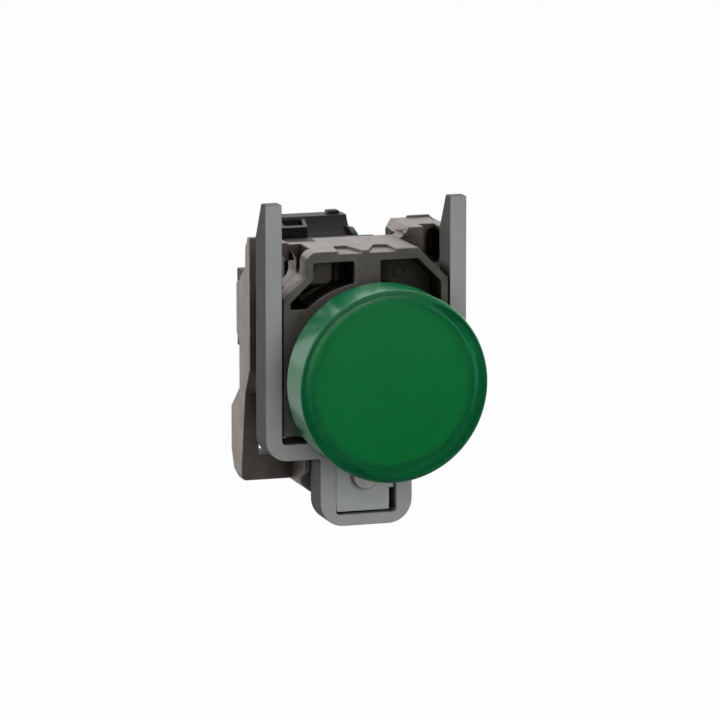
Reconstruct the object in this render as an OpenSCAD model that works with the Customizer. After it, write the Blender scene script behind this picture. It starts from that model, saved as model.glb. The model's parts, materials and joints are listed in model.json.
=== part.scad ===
// Panel pilot light, 22 mm hole, lit green lens, die-cast fixing collar and screw terminals.
// +Y runs into the panel, +Z is up, Y = 0 is the front face of the panel, X = Z = 0 is the head axis.

/* [Head] */
// Outer diameter of the lens
lens_d = 27.6; // [26:0.1:28.4]
// Length of the lens from its back edge to its flat front
lens_l = 7.3; // [6.8:0.1:9]
// Wall of the lens skirt
lens_wall = 1.4; // [1.1:0.1:1.6]
// Thickness of the lens front
lens_front_t = 1.8; // [1.2:0.1:2.4]
// Width of the soft bevel round the lens front
lens_bevel_w = 1.3; // [0.6:0.1:1.8]
// Height of the soft bevel round the lens front
lens_bevel_h = 0.8; // [0.4:0.1:1.2]
// Diameter of the shank that goes through the panel
shank_d = 22; // [21:0.1:22.2]
// Wall of the shank
shank_wall = 1.7; // [1.2:0.1:2]
// Thickness of the bezel flange behind the lens
flange_t = 2.2; // [1.8:0.1:2.6]
// Thickness of the white diffuser
diffuser_t = 0.8; // [0.5:0.1:1.2]
// Thickness of the panel gasket
gasket_t = 1; // [0.6:0.1:1.4]
// Width of the panel gasket round the shank
gasket_w = 2; // [1.6:0.1:2]
// Cord thickness of the seal ring in the lens skirt
seal_t = 0.9; // [0.6:0.1:1]
// Width of the key that stops the head turning in the panel
key_w = 2.8; // [2:0.1:3.2]
// Height of the key above the shank
key_h = 1.1; // [0.6:0.1:1.2]

/* [Clamp] */
// Room for the panel between the gasket and the open clamp frame
panel_gap = 5.4; // [5:0.1:7]
// Width of the clamp frame and of the collar over its two wings
clamp_w = 30; // [29:0.1:32]
// Height of the two prongs above the head axis
prong_top = 24.5; // [22:0.1:26]
// Thickness of one prong, side to side
prong_t = 2.5; // [2:0.1:2.6]
// Depth of the clamp frame, front to back
clamp_depth = 5; // [4:0.1:5.4]
// Depth of a prong at its tip
tip_depth = 2.2; // [1.5:0.1:3]
// Length of the taper at the prong tips
tip_taper = 5.2; // [3:0.1:6]
// Height of the cross bar
bar_h = 2.45; // [2:0.1:3]
// Outer corner radius of the clamp frame
clamp_corner_r = 3.3; // [1:0.1:4]
// Width of the tongue under the cross bar
tongue_w = 13.74; // [12.8:0.02:15]
// Lowest edge of the tongue, below the head axis
tongue_low = 22.5; // [21.8:0.1:24]
// Corner radius of the tongue
tongue_corner_r = 3.5; // [1:0.1:4]
// Width of the window in the tongue
window_w = 8.9; // [8:0.1:9.4]
// Height of the window in the tongue
window_h = 7.95; // [7.6:0.05:8.2]
// Depth of the pressure plate behind the front of the clamp frame
plate_recess = 1; // [0.6:0.1:2]
// Diameter of the clamp screw thread
clamp_screw_d = 4; // [3.5:0.1:4.2]
// Distance of the clamp screw below the head axis
clamp_screw_drop = 15.5; // [15.3:0.1:15.8]
// Diameter of the clamp screw head
clamp_head_d = 6.4; // [6:0.1:6.6]
// Travel of the clamp frame towards the panel
clamp_travel = 4.4; // [3:0.1:4.6]

/* [Collar] */
// Top of the nose above the head axis
nose_top = 17.4; // [16.6:0.1:17.8]
// Bottom of the nose below the head axis
nose_low = 9; // [8:0.1:9.8]
// Corner cut off the nose at the upper right
nose_cut = 4.6; // [3:0.1:5.4]
// Rim wall of the nose
nose_wall = 1.1; // [0.8:0.1:1.4]
// Top wall of the nose
nose_roof = 1.6; // [1.1:0.1:1.9]
// Depth of the two pockets in the nose
pocket_depth = 5.4; // [3:0.1:6]
// Width of the web between the two pockets
web_w = 4; // [2:0.1:5]
// Wall of the hub round the shank
hub_wall = 1.65; // [1.3:0.05:1.7]
// Depth of the wings behind the front of the cast plate
wing_depth = 9.6; // [8.6:0.1:10.4]
// Thickness of the cast plate that carries the nose
cast_t = 2.2; // [1.6:0.1:2.6]
// Distance from the front of the nose to the front of the cast plate
plate_set = 8; // [7.6:0.1:8.4]
// Lean of the cast plate towards its foot
plate_lean = 4.2; // [3:0.1:4.6]
// Bottom of the cast plate below the head axis
plate_low = 17.6; // [17:0.1:18]
// Thickness of the two side wings
wing_t = 1.6; // [1.2:0.1:2]
// Top of the right ear above the head axis
ear_top = 19; // [18.4:0.1:19.6]
// Length of the hub, from the front of the nose to the lock ring
hub_l = 13; // [12.6:0.1:13.6]
// Turn of the lock lever between locked and free
lock_turn = 30; // [20:1:32]

/* [Light block] */
// Width of the terminal towers
tower_w = 12.4; // [12.2:0.1:13]
// Width of the block core and base
core_w = 14.8; // [14:0.1:15.6]
// Height of the block over both towers
tower_h = 29.6; // [29.4:0.1:30]
// Height of the block core at the back
core_h = 11.6; // [11:0.1:12.6]
// Middle of the block above the head axis
block_rise = 2.9; // [2.8:0.1:3.2]
// Depth of the block behind the front of the clamp frame
block_depth = 40.3; // [39:0.1:44]
// Wall of the two housings
case_wall = 1.2; // [1:0.1:1.3]
// Diameter of the nozzle that holds the light in the shank
nozzle_d = 16.8; // [14:0.1:17.6]
// Diameter of the light-emitting diode
led_d = 5; // [3:0.1:5.4]
// Thickness of the circuit board
board_t = 1.6; // [1:0.1:2]
// Distance of each terminal from the middle of the block
terminal_x = 3; // [2.9:0.05:3.1]
// Diameter of the terminal screw thread
terminal_screw_d = 3; // [2.5:0.1:3.2]
// Diameter of the terminal screw head
terminal_head_d = 5; // [4.4:0.1:5.2]
// Wall of the terminal clamp
cage_wall = 0.7; // [0.6:0.02:0.74]
// Travel of the terminal clamp
cage_travel = 2; // [1.6:0.1:2]
// Thickness of the terminal strip
strip_t = 1; // [0.6:0.1:1.2]
// Diameter of the round hole for the conductor
entry_d = 2.7; // [2.2:0.1:2.9]

/* [Hidden] */

$fn = 96;
// Overlap of joined shapes and overrun of cuts
eps = 0.02;
// Clearance of a running fit, measured on the radius
run = 0.05;
// Clearance between pieces that only pass each other
gap = 0.1;

lens_r = lens_d / 2;
shank_r = shank_d / 2;
light_r = shank_r - shank_wall;
lens_back = -gasket_t;
lens_face = lens_back - lens_l;
flange_r = lens_r - lens_wall - run;
flange_front = -gasket_t - flange_t;
seal_r = lens_r - lens_wall - 0.01 - seal_t / 2;
cavity_face = lens_face + lens_front_t;
diffuser_r = flange_r - 1.2;
gasket_r = shank_r + gasket_w;
key_l = 3;

nose_front = panel_gap + gap;
nose_clear = 0.2;
collar_w = clamp_w;
clamp_back = panel_gap + clamp_depth;
bar_top = -nose_low - 1.1;
bar_low = bar_top - bar_h;
prong_in = clamp_w / 2 - prong_t;
window_top = bar_low - 0.3;
window_low = window_top - window_h;
pusher_front = panel_gap + plate_recess;
flange_back_t = 1.2;

nose_r = prong_in - nose_clear;
nose_w = 2 * nose_r;
wing_in = collar_w / 2 - wing_t;
floor_y = nose_front + pocket_depth;
channel_y = nose_front + 4.2;
cast_front = panel_gap + plate_set;
cast_foot = cast_front + plate_lean;
nose_back = cast_front + 4;
hub_r = shank_r + 0.15 + hub_wall;
bore_r = shank_r + 0.15;
hub_back = panel_gap + hub_l;
rim_back = hub_back + 2;
ring_pocket_r = 12.9;
rim_r = 14;
ring_t = 1.6;
ring_front = hub_back + gap;
lever_reach = 16.3;
latch_x = 1.8;
left_wall = nose_r - 3.4;
left_pocket_z = 9.3;
right_pocket_z = 3;
plate_knee = 0.57 * plate_lean;
wing_top = ear_top - 0.4;
wing_back = plate_set + wing_depth;
ear_x = nose_r - 3.4;
notch_depth = 2.4;
foot_hole_z = 13.95;
foot_corner_r = 0.8;
mark_depth = 0.4;
deep_x = web_w / 2 + 2.4;
lever_angle = 135;
boss_front = clamp_back + 1.8;
boss_l = 9.2;
boss_back = boss_front + boss_l;
guide_t = 0.9;
guide_x = tongue_w / 2 + gap + guide_t / 2;
tip_r = clamp_screw_d / 2 - 0.25;
sink_r = tip_r + 0.55;
head_front = boss_back + clamp_travel + 0.4;

block_y0 = rim_back + 1;
case_y0 = block_y0 + 4.5;
block_back = panel_gap + block_depth;
tower_top = block_rise + tower_h / 2;
tower_low = block_rise - tower_h / 2;
core_top = block_rise + core_h / 2;
core_low = block_rise - core_h / 2;
step_front = case_y0 + 1.5;
shoulder_y = case_y0 + 12.1;
slope_y = shoulder_y + 5.2;
terminal_z = tower_h / 2 - 6.2;
cage_w = 4.7;
cage_h = 5.4;
cage_front = step_front + case_wall + gap;
wire_gap = 3;
entry_x = terminal_x + 0.25;
entry_recess = 0.8;
box_drop = 0.3;
scoop_drop = 2.5;
scoop_r = 4.25;
scoop_y = step_front + 3.5;
strip_y = cage_front + cage_wall + wire_gap;
cage_l = cage_wall + wire_gap + strip_t + gap + cage_wall + 0.2;
neck_front = cage_front + cage_l + cage_travel + gap;
neck_back = neck_front + 0.8;
terminal_head_t = 1.6;
cavity_x = tower_w / 2 - case_wall;
cavity_h = core_h / 2 - case_wall;
board_front = case_y0 + 0.5;
board_back = block_back - case_wall - 1;
led_tip = panel_gap - 3;
led_collar = 0.4;
led_foot = 1;
socket_front = panel_gap + 2.6;
socket_foot = 3;
socket_back = block_y0 + case_wall + socket_foot;
socket_wall = 1.1;
socket_r = led_d / 2 + socket_wall;
lead_r = 0.25;
lead_x = board_t / 2 + lead_r;
lead_z = 1.27;
capacitor_l = 7.6;
capacitor_h = 4.5;
capacitor_drop = 3;
capacitor_y = strip_y + strip_t + 1.4;
resistor_r = 1.05;
resistor_l = 6.5;
resistor_z = 1.4;
resistor_y = strip_y + 3;
core_lap = 9;

// Helpers: extrusions along each axis, turned shapes and simple outlines

module along_y(y0, y1)
    translate([0, y1, 0])
    rotate([90, 0, 0])
    linear_extrude(y1 - y0)
    children();

module along_x(x0, x1)
    translate([x0, 0, 0])
    rotate([90, 0, 90])
    linear_extrude(x1 - x0)
    children();

module along_z(z0, z1)
    translate([0, 0, z0])
    linear_extrude(z1 - z0)
    children();

module rod_y(r, y0, y1, x = 0, z = 0)
    translate([x, y1, z])
    rotate([90, 0, 0])
    cylinder(r = r, h = y1 - y0);

module turned()
    rotate([-90, 0, 0])
    rotate_extrude()
    children();

module box(x0, x1, y0, y1, z0, z1)
    translate([x0, y0, z0])
    cube([x1 - x0, y1 - y0, z1 - z0]);

// Rectangle from y0 to y1 whose two lower corners are rounded
module footed(w, y0, y1, r) {
    translate([-w / 2, y0 + r]) square([w, y1 - y0 - r]);
    translate([-w / 2 + r, y0]) square([w - 2 * r, 2 * r]);
    for (side = [-1, 1])
        translate([side * (w / 2 - r), y0 + r])
            circle(r);
}

// Rectangle with all four corners rounded
module pad(x0, x1, y0, y1, r) {
    translate([x0 + r, y0]) square([x1 - x0 - 2 * r, y1 - y0]);
    translate([x0, y0 + r]) square([x1 - x0, y1 - y0 - 2 * r]);
    for (x = [x0 + r, x1 - r], y = [y0 + r, y1 - r])
        translate([x, y])
            circle(r);
}

// Ring sector between two angles, counted from +X towards +Z
module sector(r, a0, a1)
    polygon(concat([[0, 0]], [for (i = [0:8]) r * [cos(a0 + (a1 - a0) * i / 8), sin(a0 + (a1 - a0) * i / 8)]]));

// Head

module lens() {
    r = lens_r;
    inner = r - lens_wall;
    bevel = [for (a = [0:15:90]) [r - lens_bevel_w * (1 - cos(a)), lens_face + lens_bevel_h * (1 - sin(a))]];
    color([0.07, 0.45, 0.22])
    turned()
    polygon(concat(
        [[r, lens_back]], bevel,
        [[0, lens_face], [0, cavity_face], [inner - 0.8, cavity_face], [inner, cavity_face + 0.8], [inner, lens_back]]
    ));
}

module diffuser()
    color([0.9, 0.92, 0.9])
    rod_y(diffuser_r, cavity_face + gap, cavity_face + gap + diffuser_t);

module lens_seal()
    color([0.1, 0.1, 0.1])
    turned()
    translate([seal_r, flange_front + flange_t / 2])
    circle(r = seal_t / 2, $fn = 24);

module bezel() {
    collar_front = cavity_face + gap + diffuser_t + gap;
    seat_r = diffuser_r;
    groove_r = shank_r - 1;
    shank_back = block_y0 - gap;
    color([0.72, 0.72, 0.74])
    difference() {
        union() {
            turned() difference() {
                polygon([
                    [light_r, shank_back], [light_r, flange_front], [seat_r - 1.2, collar_front],
                    [seat_r, collar_front], [seat_r, flange_front], [flange_r, flange_front],
                    [flange_r, -gasket_t], [shank_r, -gasket_t], [shank_r, hub_back],
                    [groove_r, hub_back], [groove_r, rim_back - 0.2], [shank_r, rim_back - 0.2],
                    [shank_r, shank_back]
                ]);
                translate([seal_r, flange_front + flange_t / 2])
                    circle(r = seal_t / 2 + run, $fn = 24);
            }
            box(-key_w / 2, key_w / 2, -gasket_t - eps, key_l, shank_r - 0.5, shank_r + key_h);
        }
        for (a = [0, 180])
            rotate([0, a, 0])
                along_y(rim_back - 0.2 - eps, shank_back + eps)
                difference() {
                    sector(2 * shank_r, 65, 115);
                    circle(groove_r);
                }
    }
}

module panel_gasket()
    color([0.08, 0.08, 0.08])
    difference() {
        rod_y(gasket_r, -gasket_t, 0);
        rod_y(shank_r + gap, -gasket_t - eps, eps);
        box(-key_w / 2 - gap, key_w / 2 + gap, -gasket_t - eps, eps, 0, shank_r + key_h + gap);
    }

// Clamp

module clamp_outline() {
    difference() {
        union() {
            footed(clamp_w, bar_low, prong_top, clamp_corner_r);
            footed(tongue_w, -tongue_low, bar_low + bar_h / 2, tongue_corner_r);
        }
        footed(2 * prong_in, bar_top, prong_top + 1, 0.5);
        circle(shank_r + 0.3);
        pad(-window_w / 2, window_w / 2, window_low, window_top, 0.45);
    }
}

module clamp_frame()
    color([0.56, 0.57, 0.58])
    intersection() {
        along_y(panel_gap, clamp_back) clamp_outline();
        along_x(-clamp_w, clamp_w)
            polygon([
                [panel_gap, -tongue_low - 1], [panel_gap, prong_top],
                [panel_gap + tip_depth, prong_top], [clamp_back, prong_top - tip_taper],
                [clamp_back, -tongue_low - 1]
            ]);
    }

module pressure_plate() {
    half = window_w / 2 - 0.07;
    color([0.50, 0.50, 0.50])
    difference() {
        union() {
            along_y(pusher_front, clamp_back)
                polygon([
                    [-half, window_top - 0.3], [-half, -clamp_screw_drop - 2.9], [-half + 0.3, window_low + 0.2],
                    [half - 0.65, window_low + 0.2], [half - 0.65, -clamp_screw_drop - 1.95],
                    [half, -clamp_screw_drop - 1.95], [half, window_top - 0.3]
                ]);
            along_y(clamp_back, clamp_back + flange_back_t)
                footed(tongue_w - 1.2, window_low - 0.6, window_top + 0.5, tongue_corner_r - 0.6);
        }
        rod_y(tip_r + run, pusher_front - eps, clamp_back + 2, 0, -clamp_screw_drop);
        translate([0, pusher_front - eps, -clamp_screw_drop])
            rotate([-90, 0, 0])
            cylinder(r1 = sink_r, r2 = tip_r + run, h = 0.5);
    }
}

module clamp_screw() {
    z = -clamp_screw_drop;
    slot_w = 0.9;
    color([0.66, 0.66, 0.68])
    difference() {
        union() {
            rod_y(tip_r, panel_gap + gap, clamp_back + flange_back_t + run + eps, 0, z);
            rod_y(clamp_screw_d / 2, clamp_back + flange_back_t + run, head_front + eps, 0, z);
            rod_y(clamp_head_d / 2, head_front, head_front + 2.6, 0, z);
        }
        for (turn = [0, 90])
            translate([0, head_front + 2.6, z])
                rotate([0, turn, 0])
                translate([-1.8, -1.4, -slot_w / 2])
                cube([3.6, 2, slot_w]);
    }
}

// Collar

module nose_outline(inset = 0) {
    r = nose_r - inset;
    top = nose_top - inset;
    left = -left_wall + inset;
    bend = inset * tan(22.5);
    round_r = max(1.6 - inset, 0.3);
    polygon([
        [-r, -nose_low + inset], [r, -nose_low + inset], [r, nose_top - nose_cut - bend],
        [nose_r - nose_cut - bend, top], [left + round_r, top], [left, top - round_r],
        [left, nose_top - 3.5 - bend], [-r, nose_top - 6.7 - bend]
    ]);
    translate([left + round_r, top - round_r]) circle(round_r);
}

// The two pockets left and right of the web, above the hub
module pocket_outline()
    difference() {
        nose_outline(nose_wall);
        circle(hub_r);
        translate([-nose_w, nose_top - nose_roof]) square([2 * nose_w, nose_roof]);
        translate([-web_w / 2 + 0.2, 0]) square([web_w, nose_top]);
        translate([-nose_w, -nose_w]) square([nose_w, nose_w + left_pocket_z]);
        translate([0, -nose_w]) square([nose_w, nose_w + right_pocket_z]);
    }

// Part of the nose wall at the upper left that is open towards the cast plate
module side_window() {
    wall_in = -left_wall + nose_wall + 0.4;
    box(-left_wall - 1, wall_in, nose_front + 3.4, cast_front, nose_top - 3.5, nose_top + eps);
    for (cut = [[nose_front + 3.8, nose_r + 1, 6.5], [nose_front + 1.2, left_wall + 0.9, 4.7]])
        along_y(cut[0], cast_front)
            intersection() {
                translate([-cut[1], nose_top - cut[2]]) square([cut[1] + wall_in, cut[2]]);
                difference() {
                    nose_outline(-0.1);
                    nose_outline(nose_wall + 0.1);
                    translate([-left_wall - eps, nose_top - 3.5]) square([nose_w, nose_w]);
                }
            }
}

// Cast plate and wings seen from the side, as [y, z] with y from the front of the nose
module cast_section()
    translate([panel_gap, 0])
    polygon([
        [plate_set, nose_top], [plate_set, -0.5], [plate_set + plate_knee, -4.4],
        [plate_set + plate_lean, -15], [plate_set + plate_lean, -plate_low],
        [plate_set + plate_lean + cast_t, -plate_low], [plate_set + plate_lean + cast_t, -15],
        [plate_set + plate_knee + cast_t, -4.1], [plate_set + cast_t, -0.2], [plate_set + cast_t, nose_top]
    ]);

module wing_section()
    translate([panel_gap, 0])
    polygon([
        [plate_set, wing_top], [plate_set, -0.5], [plate_set + plate_knee, -4.4],
        [plate_set + plate_lean, -15], [plate_set + plate_lean, -plate_low], [plate_set + 5, -plate_low + 0.1],
        [wing_back - 1.3, -plate_low + 1.1], [wing_back, -plate_low + 3.9], [wing_back, -7.4],
        [wing_back - 4.2, -4], [wing_back - 4.2, 2.6], [wing_back - 2.8, 3.9], [wing_back - 2.8, 11.1],
        [plate_set + 2.3, 13.9], [plate_set + 2.3, 16.3], [plate_set + 1.1, wing_top]
    ]);

// Deep ear at the upper right, with a cove down to the top of the nose
module right_ear() {
    foot_x = ear_x - 0.8;
    cove_r = 0.8;
    along_y(cast_front, cast_front + 8.8)
        polygon([
            [ear_x, ear_top], [foot_x, ear_top - 1.4], [foot_x, 14.2],
            [collar_w / 2, 12.6], [collar_w / 2, ear_top]
        ]);
    along_y(cast_front, nose_back)
        polygon(concat(
            [for (a = [0:15:90]) [foot_x - cove_r * (1 - cos(a)), nose_top + cove_r * (1 - sin(a))]],
            [[foot_x - cove_r, nose_top - 0.5], [foot_x + eps, nose_top - 0.5]]
        ));
    box(ear_x + 2.4, collar_w / 2 - 0.2, cast_front + 8.2, cast_front + 8.8, ear_top - eps, ear_top + 0.3);
}

// Notch in the front of that ear and the deep opening behind it
module right_ear_cuts() {
    box(ear_x + 2.26, wing_in, cast_front - eps, cast_front + notch_depth, 13.7, ear_top + 1);
    along_y(cast_front, cast_front + 6.5)
        pad(ear_x + 3.4, collar_w / 2 - 0.5, 14.2, ear_top - 0.75, 1);
}

// Opening beside the left ear, with the tip of the ear left standing in it
module left_opening()
    difference() {
        pad(-nose_r - 0.1, -left_wall + 0.42, nose_top - 6, nose_top - 0.4, 2.2);
        polygon([
            [-left_wall - 3.7, nose_top], [-left_wall - 0.13, nose_top], [-left_wall - 0.13, nose_top - 2.2],
            [-left_wall - 0.45, nose_top - 2.6], [-left_wall - 1.4, nose_top - 1.2], [-left_wall - 3.7, nose_top - 0.6]
        ]);
    }

module left_ear()
    along_y(cast_front, cast_front + 3.4) {
        pad(-wing_in - 0.4, -left_wall + 0.1, 13, nose_top + 0.25, 0.8);
        translate([-wing_in - 0.4, 10]) square([wing_in + 0.4 - left_wall, 5]);
    }

// Boss of the clamp screw, a circle segment under the cast plate, with two ribs that guide the tongue
module screw_boss() {
    along_y(boss_front, boss_back)
        intersection() {
            translate([0, -10]) circle(10.7);
            translate([-7.8, -25]) square([15.6, 12.6]);
        }
    for (side = [-1, 1])
        along_x(side * guide_x - guide_t / 2, side * guide_x + guide_t / 2)
            polygon([
                [clamp_back + gap, -nose_low + eps], [boss_front + 4, -nose_low + eps],
                [boss_front + 4, -plate_low + 0.2], [boss_front + 1.5, -plate_low + 0.2],
                [clamp_back - 0.3, bar_low - 2.5], [clamp_back - 0.3, bar_low - 0.2], [clamp_back + gap, bar_low - 0.2]
            ]);
}

// Shelves of the foot between the wings and the boss, below the two foot holes
module foot_shelves()
    for (side = [-1, 1])
        scale([side, 1, 1])
        box(guide_x, wing_in + eps, cast_foot, panel_gap + wing_back - 0.3, -foot_hole_z - 1.9, -foot_hole_z);

// What is taken off the two lowest corners of the foot
module foot_corners()
    along_y(cast_front, cast_foot + wing_depth)
    for (side = [-1, 1])
        scale([side, 1, 1])
        translate([collar_w / 2 - foot_corner_r, -plate_low + foot_corner_r])
        difference() {
            translate([0, -foot_corner_r - 1]) square([foot_corner_r + 1, foot_corner_r + 1]);
            circle(foot_corner_r);
        }

// Two slanted marks in the top of the nose, open to the front
module top_marks() {
    z = nose_top - mark_depth;
    along_z(z, nose_top + 1)
        polygon([
            [-4.3, nose_front - 1], [-3.5, nose_front + 4.6], [-1.7, nose_front + 4.6], [-0.3, nose_front - 1]
        ]);
    along_z(z, nose_top + 1)
        polygon([
            [-0.1, nose_front - 1], [2.5, nose_front + 4.5], [4.3, nose_front + 3.9], [4.4, nose_front - 1]
        ]);
}

module collar_body() {
    color([0.51, 0.50, 0.48])
    difference() {
        union() {
            along_y(nose_front, nose_back) nose_outline();
            along_x(-collar_w / 2, collar_w / 2) cast_section();
            for (side = [-1, 1])
                along_x(side * (collar_w - wing_t) / 2 - wing_t / 2, side * (collar_w - wing_t) / 2 + wing_t / 2)
                    wing_section();
            rod_y(rim_r, cast_front + 0.5, rim_back);
            right_ear();
            left_ear();
            screw_boss();
            foot_shelves();
        }
        along_y(nose_front - eps, channel_y) pocket_outline();
        along_y(nose_front, floor_y)
            intersection() {
                pocket_outline();
                translate([-deep_x, 0]) square([nose_w, nose_w]);
            }
        side_window();
        along_y(cast_front - eps, nose_back + eps) left_opening();
        rod_y(bore_r, nose_front - eps, rim_back + eps);
        rod_y(ring_pocket_r, hub_back, rim_back + eps);
        along_y(hub_back, rim_back + eps)
            difference() {
                sector(1.5 * rim_r, lever_angle - 7 - lock_turn, lever_angle + 7);
                circle(shank_r);
            }
        rod_y(clamp_screw_d / 2 + run, boss_front - eps, boss_back + eps, 0, -clamp_screw_drop);
        for (side = [-1, 1])
            scale([side, 1, 1])
            box(guide_x + 1, collar_w / 2 - 2.5, cast_front, cast_foot + wing_depth, -foot_hole_z, bar_low + 1.35);
        foot_corners();
        right_ear_cuts();
        box(-nose_r + 1.3, -left_wall + 0.15, nose_front - eps, floor_y + 0.6, left_pocket_z, left_pocket_z + 1.1);
        box(-left_wall + 0.1, -deep_x - 0.1, cast_front + 1.4, nose_back + eps, nose_top - 3, nose_top + eps);
        for (mark = [[6.6, 13.2], [9.6, 8.6]])
            rod_y(0.8, floor_y - eps, floor_y + 0.15, mark[0], mark[1]);
        box(-latch_x - gap, latch_x + gap, nose_back - 2.4, nose_back + eps, 14.1, 15.5);
        top_marks();
    }
    color([0.48, 0.47, 0.45]) {
        along_y(channel_y - 2, channel_y + eps)
            intersection() {
                pocket_outline();
                pad(-left_wall - 0.1, -deep_x, nose_top - 5, nose_top, 1);
            }
        along_z(nose_top - 5.1, nose_top - nose_roof + eps)
            intersection() {
                translate([-web_w / 2 - 0.9, floor_y]) circle(0.8);
                translate([-web_w / 2 - 2, floor_y - 1]) square([2, 1 + eps]);
            }
    }
}

module lock_ring() {
    claw_in = shank_r - 1 + gap;
    color([0.13, 0.13, 0.14])
    difference() {
        union() {
            rod_y(ring_pocket_r - gap, ring_front, ring_front + ring_t);
            along_y(ring_front, ring_front + ring_t)
                rotate(lever_angle)
                pad(11.6, lever_reach, -1.5, 1.5, 0.6);
        }
        along_y(ring_front - eps, ring_front + ring_t + eps)
            difference() {
                circle(shank_r + gap);
                for (a = [0, 180])
                    rotate(a)
                        difference() {
                            sector(shank_r + 1, -20, 20);
                            circle(claw_in);
                        }
            }
        rod_y(claw_in, ring_front - eps, ring_front + ring_t + eps);
    }
}

// Light block

// Terminal side of the block seen from the side, as [y, z] above the middle of the block
module tower_section() {
    top = tower_h / 2;
    scoop_floor = top - scoop_drop;
    difference() {
        polygon([
            [case_y0, -core_h / 2], [case_y0, scoop_floor], [step_front, scoop_floor], [step_front, top],
            [shoulder_y, top], [slope_y, core_h / 2 + 0.2], [slope_y, -core_h / 2]
        ]);
        translate([scoop_y, scoop_floor + scoop_r]) circle(scoop_r);
        translate([step_front - 1, scoop_floor]) square([scoop_y - step_front + 1, scoop_r]);
    }
}

// Half of the block, from the middle up, with its terminal on the -X side
module case_half() {
    top = tower_h / 2;
    half = tower_w / 2;
    along_x(-half, half) tower_section();
    along_z(core_h / 2, top - box_drop)
        polygon([
            [-half, step_front], [-2, step_front], [0.1, step_front + 8.6],
            [-0.1, shoulder_y + eps], [-half, shoulder_y + eps]
        ]);
    along_x(half - 0.9, half)
        polygon([
            [step_front + 0.6, top - 3], [step_front + 1.7, top - 1.9], [step_front + 3.8, top - 1.3],
            [step_front + 6.3, top - 1.5], [step_front + 6.3, top - 3]
        ]);
    box(half - 2.6, half - 0.8, shoulder_y - 2.2, shoulder_y - 0.6, top - eps, top + 0.5);
}

// Everything that is cut out of that half for its terminal
module terminal_room() {
    top = tower_h / 2 - box_drop;
    box(-terminal_x - cage_w / 2 - gap, -terminal_x + cage_w / 2 + gap,
        cage_front - gap, neck_front, cavity_h - eps, terminal_z + cage_h / 2 + gap);
    rod_y(terminal_screw_d / 2 + gap, neck_front - eps, neck_back + eps, -terminal_x, terminal_z);
    rod_y(terminal_head_d / 2 + 0.15, neck_back, block_back, -terminal_x, terminal_z);
    translate([-entry_x, cage_front + cage_wall + wire_gap / 2, terminal_z])
        cylinder(d = entry_d, h = top);
    along_z(top - entry_recess, top + 1)
        polygon([
            [-entry_x - 1.7, step_front + 1.7], [-entry_x + 1.05, step_front + 1.7],
            [-entry_x + 2.35, step_front + 7], [-entry_x - 0.95, step_front + 7]
        ]);
}

// A copy for each end: as drawn at the top, turned half a turn about the block's own axis below
module both_ends()
    for (a = [0, 180])
        translate([0, 0, block_rise])
            rotate([0, a, 0])
            children();

module block_case()
    color([0.13, 0.13, 0.13])
    difference() {
        union() {
            both_ends() case_half();
            box(-core_w / 2, core_w / 2, slope_y - core_lap, block_back, core_low, core_top);
            box(-core_w / 2, core_w / 2, case_y0, case_y0 + 1, core_low - 6, core_top + 6.6);
        }
        box(-cavity_x, cavity_x, case_y0 - eps, block_back - case_wall, block_rise - cavity_h, block_rise + cavity_h);
        both_ends() terminal_room();
    }

module block_front() {
    half = core_w / 2;
    low = core_low - 6;
    high = core_top + 7.4;
    nozzle_r = nozzle_d / 2;
    color([0.12, 0.12, 0.12])
    difference() {
        union() {
            box(-half, half, block_y0, case_y0 - gap / 2, low, high);
            rod_y(nozzle_r, panel_gap + 3, block_y0 + eps);
            box(-latch_x, latch_x, nose_back - 2.2, block_y0 + eps, 14.2, 15.4);
        }
        box(-half + case_wall, half - case_wall, block_y0 + case_wall, case_y0 + eps, low + case_wall, high - case_wall);
        rod_y(nozzle_r - 1.2, panel_gap + 3 - eps, block_y0 - eps);
        rod_y(socket_r + run, block_y0 - 1, block_y0 + case_wall + eps);
    }
}

module led() {
    color([0.75, 0.9, 0.78])
    union() {
        rod_y(led_d / 2, led_tip + led_d / 2, socket_front + 2 * led_foot);
        translate([0, led_tip + led_d / 2, 0]) rotate([90, 0, 0]) sphere(d = led_d);
        rod_y(led_d / 2 + led_collar, socket_front + led_foot, socket_front + 2 * led_foot);
    }
}

module led_leads()
    color([0.8, 0.8, 0.78])
    for (side = [-1, 1])
        rod_y(lead_r, socket_front + 2 * led_foot + gap, board_front + 3, lead_x, side * lead_z, $fn = 24);

module led_socket()
    color([0.92, 0.92, 0.9])
    difference() {
        rod_y(socket_r, socket_front, socket_back);
        rod_y(led_d / 2 + led_collar + run, socket_front - eps, socket_front + 2 * led_foot);
        for (side = [-1, 1])
            rod_y(lead_r + 0.15, socket_front, socket_back + eps, lead_x, side * lead_z, $fn = 24);
    }

module circuit_board()
    color([0.08, 0.3, 0.16])
    box(-board_t / 2, board_t / 2, board_front, board_back, block_rise - cavity_h + gap, block_rise + cavity_h - gap);

module capacitor()
    color([0.75, 0.6, 0.2])
    box(-cavity_x + 0.4, -board_t / 2, capacitor_y, capacitor_y + capacitor_l,
        block_rise - capacitor_drop, block_rise - capacitor_drop + capacitor_h);

module resistors()
    color([0.35, 0.5, 0.62])
    for (side = [-1, 1])
        rod_y(resistor_r, resistor_y, resistor_y + resistor_l, board_t / 2 + resistor_r + 0.01,
            block_rise + side * resistor_z, $fn = 48);

module rectifier()
    color([0.1, 0.1, 0.1])
    box(board_t / 2, board_t / 2 + 2, board_front + 3.6, board_front + 7, block_rise - 0.4, block_rise + 3.4);

// Contact strip, from the wire room of the terminal to the solder pad on the board
module contact_strip() {
    z0 = cavity_h - 1.6;
    box(-terminal_x - 1.3, -terminal_x + 1.3, strip_y, strip_y + strip_t, z0, terminal_z + cage_h / 2 - 0.2);
    box(-terminal_x - 1.3, -board_t / 2, strip_y, strip_y + strip_t, z0, z0 + 1.2);
}

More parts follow.
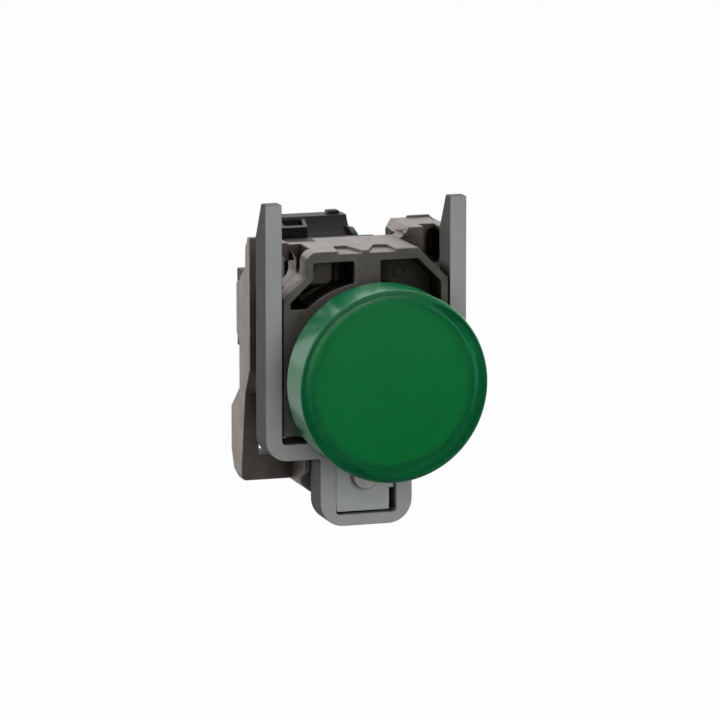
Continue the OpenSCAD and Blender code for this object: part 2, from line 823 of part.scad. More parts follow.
module upper_strip()
    color([0.8, 0.65, 0.35])
    translate([0, 0, block_rise])
    contact_strip();

module lower_strip()
    color([0.8, 0.65, 0.35])
    translate([0, 0, block_rise])
    rotate([0, 180, 0])
    contact_strip();

// Box clamp: a square tube along Z with a tapped back wall
module box_clamp()
    difference() {
        box(-terminal_x - cage_w / 2, -terminal_x + cage_w / 2, cage_front, cage_front + cage_l,
            terminal_z - cage_h / 2, terminal_z + cage_h / 2);
        box(-terminal_x - cage_w / 2 + cage_wall, -terminal_x + cage_w / 2 - cage_wall,
            cage_front + cage_wall, cage_front + cage_l - cage_wall,
            terminal_z - cage_h, terminal_z + cage_h);
        rod_y(terminal_screw_d / 2 + run, cage_front + cage_l - cage_wall - eps, cage_front + cage_l + eps,
            -terminal_x, terminal_z);
    }

module upper_clamp()
    color([0.7, 0.68, 0.62])
    translate([0, 0, block_rise])
    box_clamp();

module lower_clamp()
    color([0.7, 0.68, 0.62])
    translate([0, 0, block_rise])
    rotate([0, 180, 0])
    box_clamp();

// Terminal screw: it turns in the neck of the case and its end bears on the strip
module screw_with_slots()
    difference() {
        union() {
            rod_y(terminal_screw_d / 2, strip_y + strip_t + run, neck_back + run + eps, -terminal_x, terminal_z);
            rod_y(terminal_head_d / 2, neck_back + run, neck_back + run + terminal_head_t, -terminal_x, terminal_z);
        }
        for (turn = [0, 90])
            translate([-terminal_x, neck_back + run + terminal_head_t, terminal_z])
                rotate([0, turn, 0])
                translate([-1.5, -1, -0.35])
                cube([3, 2, 0.7]);
    }

module upper_screw()
    color([0.75, 0.75, 0.76])
    translate([0, 0, block_rise])
    screw_with_slots();

module lower_screw()
    color([0.75, 0.75, 0.76])
    translate([0, 0, block_rise])
    rotate([0, 180, 0])
    screw_with_slots();

lens();
diffuser();
lens_seal();
bezel();
panel_gasket();
collar_body();
lock_ring();
clamp_frame();
pressure_plate();
clamp_screw();
block_front();
block_case();
led();
led_leads();
led_socket();
circuit_board();
capacitor();
resistors();
rectifier();
upper_strip();
lower_strip();
upper_clamp();
lower_clamp();
upper_screw();
lower_screw();
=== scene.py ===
import json
import math

import bpy
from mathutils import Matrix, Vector
from mathutils.bvhtree import BVHTree

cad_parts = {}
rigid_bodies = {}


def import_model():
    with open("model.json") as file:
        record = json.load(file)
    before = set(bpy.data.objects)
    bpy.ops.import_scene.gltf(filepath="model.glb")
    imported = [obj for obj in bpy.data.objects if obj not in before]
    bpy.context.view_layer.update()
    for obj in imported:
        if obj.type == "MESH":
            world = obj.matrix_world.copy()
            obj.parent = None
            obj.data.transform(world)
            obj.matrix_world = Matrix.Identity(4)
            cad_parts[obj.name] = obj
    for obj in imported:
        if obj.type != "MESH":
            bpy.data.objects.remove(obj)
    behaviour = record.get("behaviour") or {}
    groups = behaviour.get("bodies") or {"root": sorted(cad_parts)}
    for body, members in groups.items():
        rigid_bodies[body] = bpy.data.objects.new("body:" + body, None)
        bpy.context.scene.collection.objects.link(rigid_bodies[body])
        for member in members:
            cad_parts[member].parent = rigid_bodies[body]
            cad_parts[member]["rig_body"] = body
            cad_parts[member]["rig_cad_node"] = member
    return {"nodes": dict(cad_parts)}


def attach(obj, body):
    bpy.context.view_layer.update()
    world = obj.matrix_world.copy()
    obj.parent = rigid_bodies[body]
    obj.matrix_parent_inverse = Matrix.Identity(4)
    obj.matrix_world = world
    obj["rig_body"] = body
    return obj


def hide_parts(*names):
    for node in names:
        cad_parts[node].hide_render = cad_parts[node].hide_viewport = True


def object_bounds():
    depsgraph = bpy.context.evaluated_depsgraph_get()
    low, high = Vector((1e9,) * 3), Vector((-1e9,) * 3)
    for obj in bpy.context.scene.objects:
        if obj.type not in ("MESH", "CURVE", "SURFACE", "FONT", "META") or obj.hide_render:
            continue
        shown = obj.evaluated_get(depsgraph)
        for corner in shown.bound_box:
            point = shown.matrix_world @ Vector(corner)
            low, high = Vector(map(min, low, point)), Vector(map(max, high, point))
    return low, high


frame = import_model()
nodes = frame["nodes"]
mm = 0.001
weld = 0.001 * mm  # new points nearer to each other than this are one
cadBox = [list(corner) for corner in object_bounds()]
print("frame loaded,", len(nodes), "nodes")


# Selecting, editing and finishing

def clearSelection():
    bpy.ops.object.select_all(action="DESELECT")


def pick(piece):
    clearSelection()
    piece.select_set(True)
    bpy.context.view_layer.objects.active = piece


def openMesh(piece, action="SELECT"):  # edit mode, with all or nothing selected
    pick(piece)
    bpy.ops.object.mode_set(mode="EDIT")
    bpy.ops.mesh.select_all(action=action)


def closeMesh():
    bpy.ops.object.mode_set(mode="OBJECT")


def rename(piece, name):
    piece.name = name
    piece.data.name = name


def applyModifiers(piece):
    pick(piece)
    for name in [modifier.name for modifier in piece.modifiers]:
        bpy.ops.object.modifier_apply(modifier=name)


def dress(piece, material, body, smoothAngle, nodeName):  # last step of every new piece
    pick(piece)
    bpy.ops.object.transform_apply(location=True, rotation=True, scale=True)
    bpy.ops.object.shade_smooth_by_angle(angle=math.radians(smoothAngle))
    flats = piece.modifiers.new("flatFaces", "WEIGHTED_NORMAL")  # no shading runs from an edge into a flat
    flats.keep_sharp = True
    applyModifiers(piece)
    piece.data.materials.clear()
    piece.data.materials.append(material)
    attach(piece, body)
    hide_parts(nodeName)


# Copies of the CAD shapes with their edges broken; reaches are in widths of the broken edge

rounding = {"weld": 0.002, "flatAngle": 0.5, "edgeAngle": 28, "shortest": 0.04, "segments": 2, "tries": 8,
            "strayReach": 1.3, "nearReach": 2.5}


def mergedCopy(nodeName, pieceName):  # one clean mesh with its flat faces whole
    pick(nodes[nodeName])
    bpy.ops.object.duplicate()
    piece = bpy.context.active_object
    rename(piece, pieceName)
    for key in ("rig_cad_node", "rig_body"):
        if key in piece:
            del piece[key]
    bpy.ops.object.parent_clear(type="CLEAR_KEEP_TRANSFORM")
    openMesh(piece)
    bpy.ops.mesh.customdata_custom_splitnormals_clear()
    bpy.ops.mesh.remove_doubles(threshold=rounding["weld"] * mm)
    bpy.ops.mesh.dissolve_limited(angle_limit=math.radians(rounding["flatAngle"]))
    closeMesh()
    return piece


def sharpEdges(piece):
    openMesh(piece, "DESELECT")
    bpy.ops.mesh.select_mode(type="EDGE")
    bpy.ops.mesh.edges_select_sharp(sharpness=math.radians(rounding["edgeAngle"]))
    closeMesh()
    points = piece.data.vertices
    sharp = set()
    for edge in piece.data.edges:
        first, second = (points[index].co for index in edge.vertices)
        if edge.select and (first - second).length > rounding["shortest"] * mm:
            sharp.add(edge.index)
    return sharp


def bevelled(plain, chosen, width):  # a copy on which only the chosen edges are broken
    pick(plain)
    bpy.ops.object.duplicate()
    piece = bpy.context.active_object
    weights = piece.data.attributes.new("bevel_weight_edge", "FLOAT", "EDGE")
    for index in chosen:
        weights.data[index].value = 1
    bevel = piece.modifiers.new("brokenEdges", "BEVEL")
    bevel.limit_method = "WEIGHT"
    bevel.width = width * mm
    bevel.segments = rounding["segments"]
    bevel.use_clamp_overlap = False
    bevel.miter_outer = "MITER_ARC"
    applyModifiers(piece)
    return piece


def strayPoints(piece, surface, reach):  # points far off the old surface, and the good points they hang on
    points = piece.data.vertices
    far = {point.index for point in points if surface.find_nearest(point.co)[3] > reach}
    roots = []
    for edge in piece.data.edges:
        first, second = edge.vertices
        if (first in far) != (second in far):
            roots.append(points[second if first in far else first].co.copy())
    return far, roots


def keepInside(piece, plain):  # broken corners stay within the old shape's box
    for axis in range(3):
        low = min(point.co[axis] for point in plain.data.vertices)
        high = max(point.co[axis] for point in plain.data.vertices)
        for point in piece.data.vertices:
            point.co[axis] = min(max(point.co[axis], low), high)


def roundedCopy(nodeName, pieceName, width):  # leaves out the edges whose bevel would fly off the shape
    plain = mergedCopy(nodeName, pieceName + "Plain")
    faces = [list(face.vertices) for face in plain.data.polygons]
    surface = BVHTree.FromPolygons([point.co.copy() for point in plain.data.vertices], faces)
    chosen = sharpEdges(plain)
    for attempt in range(rounding["tries"]):
        piece = bevelled(plain, chosen, width)
        far, roots = strayPoints(piece, surface, rounding["strayReach"] * width * mm)
        if not far:
            break
        near = {point.index for root in roots for point in plain.data.vertices
                if (point.co - root).length < rounding["nearReach"] * width * mm}
        fewer = {index for index in chosen if not near & set(plain.data.edges[index].vertices)}
        if fewer == chosen or attempt == rounding["tries"] - 1:
            break
        chosen = fewer
        bpy.data.objects.remove(piece)
    print(pieceName, "rounded in", attempt + 1, "tries,", len(far), "stray points")
    keepInside(piece, plain)
    bpy.data.objects.remove(plain)
    rename(piece, pieceName)
    return piece


# Lines that are turned or wound round the Y axis

def drawProfile(points, shift=0):  # new object in edit mode; points are (radius, y) in mm, shift is in metres
    clearSelection()
    bpy.ops.mesh.primitive_plane_add(size=mm)
    piece = bpy.context.active_object
    bpy.ops.object.mode_set(mode="EDIT")
    bpy.ops.mesh.select_mode(type="VERT")
    bpy.ops.mesh.select_all(action="SELECT")
    bpy.ops.mesh.merge(type="CENTER")
    bpy.ops.transform.translate(value=(points[0][0] * mm, points[0][1] * mm + shift, 0))
    for before, after in zip(points, points[1:]):
        step = ((after[0] - before[0]) * mm, (after[1] - before[1]) * mm, 0)
        bpy.ops.mesh.extrude_region_move(TRANSFORM_OT_translate={"value": step})
    return piece


def spinProfile(pieceName, points, steps):
    piece = drawProfile(points)
    rename(piece, pieceName)
    bpy.ops.mesh.select_all(action="SELECT")
    bpy.ops.mesh.remove_doubles(threshold=weld)
    bpy.ops.mesh.select_all(action="SELECT")
    bpy.ops.mesh.spin(steps=steps, angle=2 * math.pi, center=(0, 0, 0), axis=(0, 1, 0))
    bpy.ops.mesh.select_all(action="SELECT")
    bpy.ops.mesh.remove_doubles(threshold=weld)
    bpy.ops.mesh.normals_make_consistent(inside=False)
    closeMesh()
    return piece


# Shader building

def addNode(tree, kind, **settings):  # a setting is a socket's value or else a property of the node
    node = tree.nodes.new(kind)
    for name, value in settings.items():
        if name in node.inputs:
            node.inputs[name].default_value = value
        else:
            setattr(node, name, value)
    return node


def combine(tree, operation, first, second):  # second may be a plain number
    node = addNode(tree, "ShaderNodeMath", operation=operation)
    tree.links.new(first, node.inputs[0])
    if isinstance(second, float):
        node.inputs[1].default_value = second
    else:
        tree.links.new(second, node.inputs[1])
    return node.outputs[0]


def splitAxes(tree, vector):
    parts = tree.nodes.new("ShaderNodeSeparateXYZ")
    tree.links.new(vector, parts.inputs[0])
    return parts.outputs


def noiseOn(tree, coords, scale, detail, roughness=0.5, stretch=(1, 1, 1)):
    mapping = addNode(tree, "ShaderNodeMapping", Scale=stretch)
    tree.links.new(coords, mapping.inputs["Vector"])
    noise = addNode(tree, "ShaderNodeTexNoise", Scale=scale, Detail=detail, Roughness=roughness)
    tree.links.new(mapping.outputs["Vector"], noise.inputs["Vector"])
    return noise.outputs["Fac"]


def spread(tree, value, low, high, start=0.3, end=0.7):  # noise lies mostly between this start and end
    ranged = addNode(tree, "ShaderNodeMapRange")
    for name, number in (("From Min", start), ("From Max", end), ("To Min", low), ("To Max", high)):
        ranged.inputs[name].default_value = number
    tree.links.new(value, ranged.inputs["Value"])
    return ranged.outputs["Result"]


def past(tree, distance, span):  # 0 before the span and 1 behind it, span in mm
    return spread(tree, distance, 0, 1, span[0] * mm, span[1] * mm)


def blendColours(tree, factor, first, second):
    mix = tree.nodes.new("ShaderNodeMix")
    mix.data_type = "RGBA"
    for socket, colour in ((mix.inputs[6], first), (mix.inputs[7], second)):
        if isinstance(colour, tuple):
            socket.default_value = (*colour, 1)
        else:
            tree.links.new(colour, socket)
    tree.links.new(factor, mix.inputs[0])
    return mix.outputs[2]


def mixShaders(tree, factor, first, second):
    mix = tree.nodes.new("ShaderNodeMixShader")
    tree.links.new(factor, mix.inputs[0])
    tree.links.new(first, mix.inputs[1])
    tree.links.new(second, mix.inputs[2])
    return mix.outputs[0]


def bumpFrom(tree, height, strength, depth):
    bump = addNode(tree, "ShaderNodeBump", Strength=strength, Distance=depth * mm)
    tree.links.new(height, bump.inputs["Height"])
    return bump.outputs["Normal"]


def startMaterial(name):
    material = bpy.data.materials.new(name)
    material.use_nodes = True
    tree = material.node_tree
    coords = addNode(tree, "ShaderNodeTexCoord").outputs["Object"]
    return material, tree, tree.nodes["Principled BSDF"], coords


# Finishes: clouds of colour, grain, uneven gloss and painted shade in recesses on the plain shader

plainLook = {"cloudDetail": 4.0, "cloudRoughness": 0.6, "grainDetail": 3.0, "grainRoughness": 0.55,
             "stretch": (1, 1, 1), "speck": 0.25, "speckSpan": (0.45, 0.75), "bump": 0.3, "bumpDepth": 0.02,
             "metallic": 0.0, "specular": 0.5, "paintedShadeSpan": (0.35, 0.95), "paintedShadeAlone": True,
             "paintedShadeSamples": 8}


def finishOf(name, ownLook):
    look = dict(plainLook, **ownLook)
    material, tree, shader, coords = startMaterial(name)
    clouds = noiseOn(tree, coords, look["cloudScale"], look["cloudDetail"], look["cloudRoughness"])
    grain = noiseOn(tree, coords, look["grainScale"], look["grainDetail"], look["grainRoughness"],
                    look["stretch"])
    colour = blendColours(tree, spread(tree, clouds, 0, 1), look["dark"], look["light"])
    specks = spread(tree, grain, 0, look["speck"], *look["speckSpan"])
    colour = blendColours(tree, specks, colour, look["dark"])
    # painted shade: where ambient occlusion finds a recess, the base colour is darkened towards a dark shade
    # colour
    if "paintedShade" in look:
        hollow = addNode(tree, "ShaderNodeAmbientOcclusion", Distance=look["paintedShadeDepth"] * mm)
        hollow.samples = look["paintedShadeSamples"]
        hollow.only_local = look["paintedShadeAlone"]  # whether only the piece itself makes its recesses
        lit = spread(tree, hollow.outputs["AO"], 0, 1, *look["paintedShadeSpan"])
        colour = blendColours(tree, lit, look["paintedShade"], colour)
    tree.links.new(colour, shader.inputs["Base Color"])
    tree.links.new(spread(tree, grain, *look["roughness"]), shader.inputs["Roughness"])
    tree.links.new(bumpFrom(tree, grain, look["bump"], look["bumpDepth"]), shader.inputs["Normal"])
    shader.inputs["Metallic"].default_value = look["metallic"]
    shader.inputs["Specular IOR Level"].default_value = look["specular"]
    return material


# the collar's dark recess colour is painted shade in its pockets and hollows
castLook = {"dark": (0.345, 0.302, 0.275), "light": (0.475, 0.432, 0.405), "cloudScale": 420,
            "grainScale": 3600, "roughness": (0.36, 0.48), "metallic": 0.90, "bump": 0.5,
            "bumpDepth": 0.03, "speck": 0.4, "specular": 0.3, "paintedShade": (0.06, 0.048, 0.04),
            "paintedShadeDepth": 5.0}
# the clamp's dark recess colour is painted shade where it and the pieces beside it close in
clampLook = {"dark": (0.27, 0.272, 0.272), "light": (0.305, 0.307, 0.307), "cloudScale": 180,
             "grainScale": 9000, "roughness": (0.55, 0.65), "bump": 0.15, "bumpDepth": 0.01, "speck": 0.2,
             "specular": 0.15, "paintedShade": (0.02, 0.02, 0.02), "paintedShadeDepth": 1.6, "paintedShadeAlone": False}
plateLook = {"dark": (0.39, 0.41, 0.40), "light": (0.45, 0.47, 0.46), "cloudScale": 220,
             "grainScale": 7000, "roughness": (0.35, 0.45), "metallic": 0.3, "bump": 0.2,
             "bumpDepth": 0.01, "speck": 0.2}
housingLook = {"dark": (0.004, 0.0045, 0.005), "light": (0.006, 0.0065, 0.007), "cloudScale": 200,
               "grainScale": 6500, "roughness": (0.38, 0.5), "bumpDepth": 0.015, "speck": 0.2,
               "specular": 0.55}
lockLook = dict(housingLook, dark=(0.014, 0.014, 0.015), light=(0.02, 0.02, 0.021))
rubberLook = {"dark": (0.012, 0.012, 0.012), "light": (0.02, 0.02, 0.02), "cloudScale": 300,
              "grainScale": 4000, "roughness": (0.65, 0.8)}
bezelLook = {"dark": (0.52, 0.52, 0.53), "light": (0.62, 0.62, 0.63), "cloudScale": 220,
             "grainScale": 2500, "stretch": (1, 0.05, 1), "roughness": (0.22, 0.34), "metallic": 1.0,
             "bump": 0.1, "bumpDepth": 0.01}
screwLook = {"dark": (0.50, 0.50, 0.50), "light": (0.62, 0.62, 0.60), "cloudScale": 400,
             "grainScale": 6000, "roughness": (0.25, 0.42), "metallic": 0.45, "bump": 0.15,
             "bumpDepth": 0.01}
yellowLook = {"dark": (0.48, 0.42, 0.28), "light": (0.62, 0.56, 0.42), "cloudScale": 500,
              "grainScale": 5000, "roughness": (0.3, 0.45), "metallic": 1.0, "bump": 0.15,
              "bumpDepth": 0.01}
brassLook = {"dark": (0.56, 0.40, 0.16), "light": (0.70, 0.52, 0.24), "cloudScale": 400,
             "grainScale": 5000, "roughness": (0.25, 0.4), "metallic": 1.0, "bump": 0.1,
             "bumpDepth": 0.01}
boardLook = {"dark": (0.006, 0.055, 0.02), "light": (0.01, 0.075, 0.028), "cloudScale": 300,
             "grainScale": 3000, "roughness": (0.4, 0.5), "bump": 0.15, "bumpDepth": 0.01}
amberLook = {"dark": (0.42, 0.22, 0.03), "light": (0.5, 0.28, 0.04), "cloudScale": 300,
             "grainScale": 2000, "roughness": (0.2, 0.3), "bump": 0.2, "bumpDepth": 0.03}
blueLook = {"dark": (0.10, 0.22, 0.34), "light": (0.13, 0.26, 0.38), "cloudScale": 300,
            "grainScale": 3000, "roughness": (0.35, 0.45), "bump": 0.2}
whiteLook = {"dark": (0.74, 0.75, 0.73), "light": (0.80, 0.81, 0.79), "cloudScale": 200,
             "grainScale": 4000, "roughness": (0.45, 0.55), "bump": 0.15, "bumpDepth": 0.01}
tinLook = {"dark": (0.55, 0.55, 0.53), "light": (0.65, 0.65, 0.63), "cloudScale": 600, "grainScale": 5000,
           "roughness": (0.25, 0.4), "metallic": 1.0, "bump": 0.1, "bumpDepth": 0.01}

castZinc = finishOf("castZinc", castLook)
clampGrey = finishOf("clampGrey", clampLook)
plateGrey = finishOf("plateGrey", plateLook)
housingBlack = finishOf("housingBlack", housingLook)
lockBlack = finishOf("lockBlack", lockLook)
sealRubber = finishOf("sealRubber", rubberLook)
bezelNickel = finishOf("bezelNickel", bezelLook)
screwZinc = finishOf("screwZinc", screwLook)
yellowZinc = finishOf("yellowZinc", yellowLook)
stripBrass = finishOf("stripBrass", brassLook)
boardGreen = finishOf("boardGreen", boardLook)
capacitorAmber = finishOf("capacitorAmber", amberLook)
resistorBlue = finishOf("resistorBlue", blueLook)
diffuserWhite = finishOf("diffuserWhite", whiteLook)
leadTin = finishOf("leadTin", tinLook)


# Lens finish: clear tinted front, frosted hollow with painted shade at its edge, milkier side wall

# the dark ring colour is painted shade on the hollow's inner surfaces near its edge
lensLook = {"dark": (0.005, 0.42, 0.14), "light": (0.006, 0.44, 0.145), "cloudScale": 120,
            "grainScale": 900, "detail": 2.0, "ring": (0.012, 0.10, 0.045), "ringRadius": (11.6, 12.5),
            "hollowDepth": (-7.2, -6.8), "wall": (0.022, 0.66, 0.25), "wallDepth": (-7.9, -7.3),
            "wallRadius": (13.5, 13.7), "roughness": (0.14, 0.17), "frost": 0.3, "bump": 0.03,
            "bumpDepth": 0.01, "ior": 1.49, "specular": 0.35, "transmission": 0.86,
            "wallTransmission": 0.35}


def axisDistance(tree, coords):  # from the head's axis, which is Y
    flat = addNode(tree, "ShaderNodeVectorMath", operation="MULTIPLY")
    flat.inputs[1].default_value = (1, 0, 1)
    tree.links.new(coords, flat.inputs[0])
    reach = addNode(tree, "ShaderNodeVectorMath", operation="LENGTH")
    tree.links.new(flat.outputs[0], reach.inputs[0])
    return reach.outputs["Value"]


def lensTint(look):
    material, tree, shader, coords = startMaterial("lensTint")
    radius = axisDistance(tree, coords)
    depth = splitAxes(tree, coords)["Y"]
    clouds = noiseOn(tree, coords, look["cloudScale"], look["detail"])
    grain = noiseOn(tree, coords, look["grainScale"], look["detail"])
    outside = past(tree, radius, look["wallRadius"])
    hollow = past(tree, depth, look["hollowDepth"])
    # painted shade: a dark ring on the hollow's inner surfaces from the ring radius outwards
    ring = combine(tree, "MULTIPLY", hollow, past(tree, radius, look["ringRadius"]))
    wall = combine(tree, "MULTIPLY", outside, past(tree, depth, look["wallDepth"]))
    colour = blendColours(tree, spread(tree, clouds, 0, 1), look["dark"], look["light"])
    colour = blendColours(tree, ring, colour, look["ring"])
    colour = blendColours(tree, wall, colour, look["wall"])
    inner = combine(tree, "MULTIPLY", hollow, spread(tree, outside, 1, 0, 0, 1))
    frost = spread(tree, inner, 0, look["frost"], 0, 1)
    roughness = combine(tree, "ADD", spread(tree, grain, *look["roughness"]), frost)
    clear = spread(tree, wall, look["transmission"], look["wallTransmission"], 0, 1)
    tree.links.new(colour, shader.inputs["Base Color"])
    tree.links.new(roughness, shader.inputs["Roughness"])
    tree.links.new(clear, shader.inputs["Transmission Weight"])
    tree.links.new(bumpFrom(tree, grain, look["bump"], look["bumpDepth"]), shader.inputs["Normal"])
    shader.inputs["IOR"].default_value = look["ior"]
    shader.inputs["Specular IOR Level"].default_value = look["specular"]
    return material


lensGreen = lensTint(lensLook)
print("materials made")


# Lens: a turned cup with a soft band round its flat front, sized like the CAD piece

lensShape = {"radius": 13.8, "back": -1.0, "face": -8.3, "bandWidth": 1.3, "bandHeight": 0.8,
             "bandPoints": 10, "wall": 1.4, "frontWall": 1.8, "fillet": 0.8, "filletBulge": (0.25, 0.2),
             "rim": 0.15, "steps": 160, "smoothAngle": 40}


def lensProfile(cup):
    radius, back, rim = cup["radius"], cup["back"], cup["rim"]
    inner, cavity = radius - cup["wall"], cup["face"] + cup["frontWall"]
    band = []
    for i in range(cup["bandPoints"] + 1):
        turn = math.radians(90 * i / cup["bandPoints"])
        band.append((radius - cup["bandWidth"] * (1 - math.cos(turn)),
                     cup["face"] + cup["bandHeight"] * (1 - math.sin(turn))))
    front = [(0, cup["face"]), (0, cavity), (inner - cup["fillet"], cavity)]
    side = [(inner - cup["filletBulge"][0], cavity + cup["filletBulge"][1]), (inner, cavity + cup["fillet"])]
    foot = [(inner, back - rim), (inner + rim, back), (radius - rim, back), (radius, back - rim)]
    return band + front + side + foot + band[:1]


lens = spinProfile("lensCup", lensProfile(lensShape), lensShape["steps"])
dress(lens, lensGreen, "collar", lensShape["smoothAngle"], "lens")
print("lens made")


# Metal and plastic pieces that keep the CAD shape: node, piece, broken edge in mm, finish, body, slot

smoothAngle = 30
roundedPieces = [
    ("collar_body", "fixingCollar", 0.18, castZinc, "collar", "cast_zinc"),
    ("clamp_frame", "clampFrame", 0.22, clampGrey, "clamp", "clamp_metal"),
    ("pressure_plate", "pressurePlate", 0.1, plateGrey, "clamp", "cast_zinc"),
    ("block_front", "blockFront", 0.15, housingBlack, "collar", "housing_black"),
    ("block_case", "blockCase", 0.15, housingBlack, "collar", "housing_black"),
    ("bezel", "bezelRing", 0.08, bezelNickel, "collar", "bezel_metal"),
    ("lock_ring", "lockRing", 0.12, lockBlack, "lock", "lock_black"),
    ("clamp_screw", "clampScrew", 0.12, screwZinc, "clamp_screw", "screw_zinc"),
    ("upper_screw", "upperScrew", 0.08, screwZinc, "upper_screw", "screw_zinc"),
    ("lower_screw", "lowerScrew", 0.08, screwZinc, "lower_screw", "screw_zinc"),
    ("upper_clamp", "upperClamp", 0.08, yellowZinc, "upper_clamp", "clamp_steel"),
    ("lower_clamp", "lowerClamp", 0.08, yellowZinc, "lower_clamp", "clamp_steel"),
]
for nodeName, pieceName, width, material, body, slotName in roundedPieces:
    dress(roundedCopy(nodeName, pieceName, width), material, body, smoothAngle, nodeName)
print("rounded pieces made")


# Clamp screw: its shank gets a real right-hand thread; drop is how far its axis lies from the head's axis

thread = {"pitch": 0.7, "crest": 2.0, "root": 1.56, "flat": 0.09, "steps": 32, "drop": -15.5,
          "shankMargin": 0.02, "coreShare": 0.98, "spareTurns": 2}


def slimShank(screw, axis, form):  # narrows the plain shank to the thread's core and returns its two ends
    shank = {}
    for point in screw.data.vertices:
        radius = math.hypot(point.co.x, point.co.z - axis.z)
        if abs(radius - form["crest"] * mm) < form["shankMargin"] * mm:
            shank[point.index] = point.co.y
    openMesh(screw, "DESELECT")
    bpy.ops.mesh.select_mode(type="VERT")
    closeMesh()
    for index in shank:
        screw.data.vertices[index].select = True
    bpy.ops.object.mode_set(mode="EDIT")
    slim = form["root"] * form["coreShare"] / form["crest"]
    bpy.ops.transform.resize(value=(slim, 1, slim), center_override=axis)
    closeMesh()
    return min(shank.values()), max(shank.values())


def windRib(start, turns, form):  # the rib of the thread, one turn longer than the shank at either end
    root, crest, pitch, flat = form["root"], form["crest"], form["pitch"], form["flat"]
    rise = pitch / 2 - flat
    rib = [(root, 0), (root, flat), (crest, rise), (crest, rise + flat * 2), (root, pitch)]
    rod = drawProfile(rib, start - pitch * mm)
    closeMesh()
    winding = rod.modifiers.new("winding", "SCREW")
    winding.axis = "Y"
    winding.screw_offset = pitch * mm
    winding.iterations = turns
    winding.steps = winding.render_steps = form["steps"]
    winding.use_merge_vertices = True
    winding.merge_threshold = weld
    applyModifiers(rod)
    return rod


def cutAcross(piece, y, dropBehind):  # cuts and closes the mesh at y, dropping what is behind or in front
    openMesh(piece)
    bpy.ops.mesh.bisect(plane_co=(0, y, 0), plane_no=(0, 1, 0), use_fill=True,
                        clear_outer=dropBehind, clear_inner=not dropBehind)
    closeMesh()


def cutThread(screw, form):
    axis = Vector((0, 0, form["drop"] * mm))
    start, end = slimShank(screw, axis, form)
    turns = math.ceil((end - start) / (form["pitch"] * mm))
    rod = windRib(start, turns + form["spareTurns"], form)
    cutAcross(rod, start, False)
    cutAcross(rod, end, True)
    openMesh(rod)
    bpy.ops.mesh.normals_make_consistent(inside=False)
    bpy.ops.transform.translate(value=axis)
    closeMesh()
    rod.data.materials.append(screwZinc)
    bpy.ops.object.shade_smooth_by_angle(angle=math.radians(smoothAngle))
    screw.select_set(True)
    bpy.context.view_layer.objects.active = screw
    bpy.ops.object.join()
    print("thread of", turns, "turns from", round(start / mm, 2), "to", round(end / mm, 2))


cutThread(bpy.data.objects["clampScrew"], thread)


# Inner pieces that stay as they are and only get their finish

keptNodes = {
    "diffuser": diffuserWhite, "lens_seal": sealRubber, "panel_gasket": sealRubber,
    "led": diffuserWhite, "led_leads": leadTin, "led_socket": diffuserWhite,
    "circuit_board": boardGreen, "capacitor": capacitorAmber, "resistors": resistorBlue,
    "rectifier": lockBlack, "upper_strip": stripBrass, "lower_strip": stripBrass,
}
for nodeName, material in keptNodes.items():
    nodes[nodeName].data.materials.clear()
    nodes[nodeName].data.materials.append(material)
print("inner pieces finished")


# Studio; each span is where a blend starts and ends, as a direction or, on the floor, in metres

white = (1.0, 1.0, 1.0)
studio = {"floorDrop": 22, "floorSize": 3.0, "floorColour": (0.26, 0.26, 0.26), "floorRoughness": 0.9,
          "floorSeen": 0.98, "floorBack": 0.62, "floorSpan": (-0.05, 0.12),
          "seenBack": 1.0, "seenFront": 0.02, "seenSpan": (-0.35, 0.55),
          "seenTop": (0.6, 0.6, 0.6), "seenTopSpan": (0.35, 0.8),
          "lightBack": 0.03, "lightFront": 0.02, "lightSpan": (-0.6, 0.6),
          "lightTop": (0.09, 0.09, 0.09), "lightTopSpan": (0.2, 1.0)}


def rayKinds(tree):  # camera rays, and the rays that metal and glass send out
    path = tree.nodes.new("ShaderNodeLightPath").outputs
    return path["Is Camera Ray"], combine(tree, "MAXIMUM", path["Is Glossy Ray"], path["Is Transmission Ray"])


def buildWorld(room):  # white behind the object, a dim room in front of it
    world = bpy.data.worlds.new("studioWorld")
    bpy.context.scene.world = world
    world.use_nodes = True
    tree = world.node_tree
    background = tree.nodes["Background"]
    direction = splitAxes(tree, addNode(tree, "ShaderNodeTexCoord").outputs["Generated"])
    light = spread(tree, direction["Y"], room["lightFront"], room["lightBack"], *room["lightSpan"])
    high = spread(tree, direction["Z"], 0, 1, *room["lightTopSpan"])
    light = blendColours(tree, high, light, room["lightTop"])
    seen = spread(tree, direction["Y"], room["seenFront"], room["seenBack"], *room["seenSpan"])
    overhead = spread(tree, direction["Z"], 0, 1, *room["seenTopSpan"])
    seen = blendColours(tree, overhead, seen, room["seenTop"])
    camera, shiny = rayKinds(tree)
    shade = blendColours(tree, camera, blendColours(tree, shiny, light, seen), white)
    tree.links.new(shade, background.inputs["Color"])
    background.inputs["Strength"].default_value = 1.0


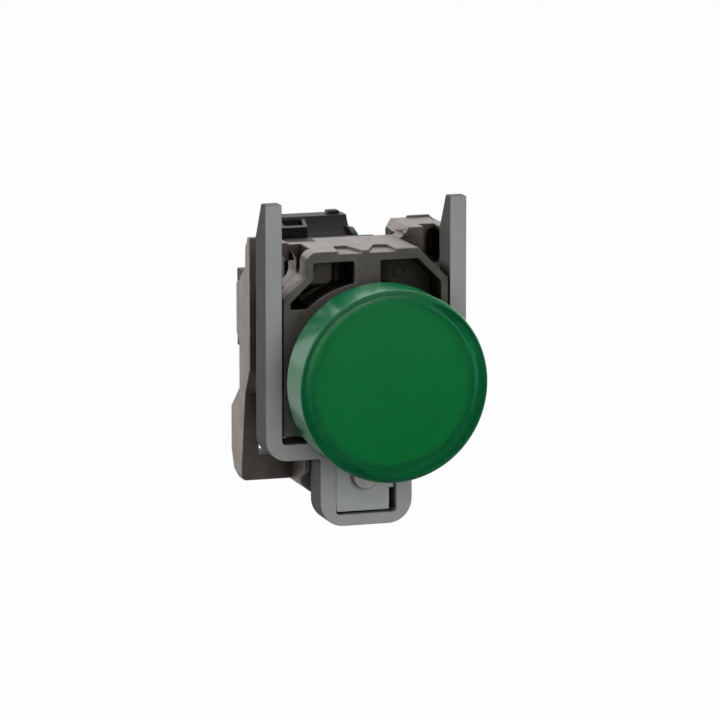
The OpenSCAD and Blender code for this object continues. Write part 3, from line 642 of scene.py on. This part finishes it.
def buildFloor(room):  # white to the camera but for the shadow, fading towards the front in metal and glass
    clearSelection()
    low = cadBox[0][2] - room["floorDrop"] * mm
    bpy.ops.mesh.primitive_plane_add(size=room["floorSize"], location=(0, 0, low))
    floor = bpy.context.active_object
    floor.name = "studioFloor"
    material, tree, shader, coords = startMaterial("floorPale")
    shader.inputs["Base Color"].default_value = (*room["floorColour"], 1)
    shader.inputs["Roughness"].default_value = room["floorRoughness"]
    shader.inputs["Specular IOR Level"].default_value = 0.0
    camera, shiny = rayKinds(tree)
    glow = addNode(tree, "ShaderNodeEmission", Strength=1.0)
    share = combine(tree, "MULTIPLY", camera, room["floorSeen"])
    seen = mixShaders(tree, share, shader.outputs[0], glow.outputs[0])
    fading = addNode(tree, "ShaderNodeEmission", Strength=1.0)
    depth = splitAxes(tree, coords)["Y"]
    shade = spread(tree, depth, room["seenFront"], room["floorBack"], *room["floorSpan"])
    tree.links.new(shade, fading.inputs["Color"])
    surface = mixShaders(tree, shiny, seen, fading.outputs[0])
    tree.links.new(surface, tree.nodes["Material Output"].inputs["Surface"])
    floor.data.materials.append(material)


# Lamps, in metres and watts; matt and shiny say which surfaces see a lamp

lampTarget = Vector((0, 0.01, 0))
lamps = {
    "keyLamp": {"place": (-0.045, -0.54, 0.01), "size": (0.50, 0.50), "power": 4.4, "matt": True},
    "topLamp": {"place": (0, -0.03, 0.60), "size": (0.60, 0.60), "power": 0.45, "matt": True},
    "stripLamp": {"place": (0.08, -0.60, 0.21), "size": (0.30, 0.05), "power": 0.12, "shiny": True},
    "backLamp": {"place": (0.42, 0.40, 0.20), "size": (0.35, 0.35), "power": 3.2, "matt": True},
}


def addLamp(name, settings):
    lamp = bpy.data.lights.new(name, "AREA")
    lamp.shape = "RECTANGLE"
    lamp.size, lamp.size_y = settings["size"]
    lamp.energy = settings["power"]
    holder = bpy.data.objects.new(name, lamp)
    bpy.context.scene.collection.objects.link(holder)
    holder.location = settings["place"]
    holder.rotation_euler = (lampTarget - Vector(settings["place"])).to_track_quat("-Z", "Y").to_euler()
    holder.visible_glossy = settings.get("shiny", False)
    holder.visible_diffuse = settings.get("matt", False)


buildWorld(studio)
buildFloor(studio)
for name, settings in lamps.items():
    addLamp(name, settings)


# Camera on the photograph's angle, aimed at the clamp frame; shifts are in pixels of the picture

view = {"azimuth": 17.5, "elevation": 10.6, "distance": 0.843, "lens": 295.7, "sensor": 36, "picture": 720,
        "nearest": 0.01, "clampPlane": 5.4, "shiftX": 6.5, "shiftY": 10.4}


def placeCamera(shot):
    turn, tilt = math.radians(shot["azimuth"]), math.radians(shot["elevation"])
    forward = Vector((math.sin(turn) * math.cos(tilt), math.cos(turn) * math.cos(tilt), -math.sin(tilt)))
    right = Vector((math.cos(turn), -math.sin(turn), 0))
    up = right.cross(forward)
    pixel = shot["distance"] * shot["sensor"] / shot["lens"] / shot["picture"]
    target = Vector((0, shot["clampPlane"] * mm, 0))
    camera = bpy.data.cameras.new("photoCamera")
    camera.lens = shot["lens"]
    camera.sensor_width = shot["sensor"]
    camera.clip_start = shot["nearest"]
    holder = bpy.data.objects.new("photoCamera", camera)
    bpy.context.scene.collection.objects.link(holder)
    shift = (up * shot["shiftY"] - right * shot["shiftX"]) * pixel
    holder.location = target - forward * shot["distance"] + shift
    holder.rotation_euler = forward.to_track_quat("-Z", "Y").to_euler()
    bpy.context.scene.camera = holder


placeCamera(view)
bpy.context.scene.view_settings.view_transform = "Standard"
print("studio ready")
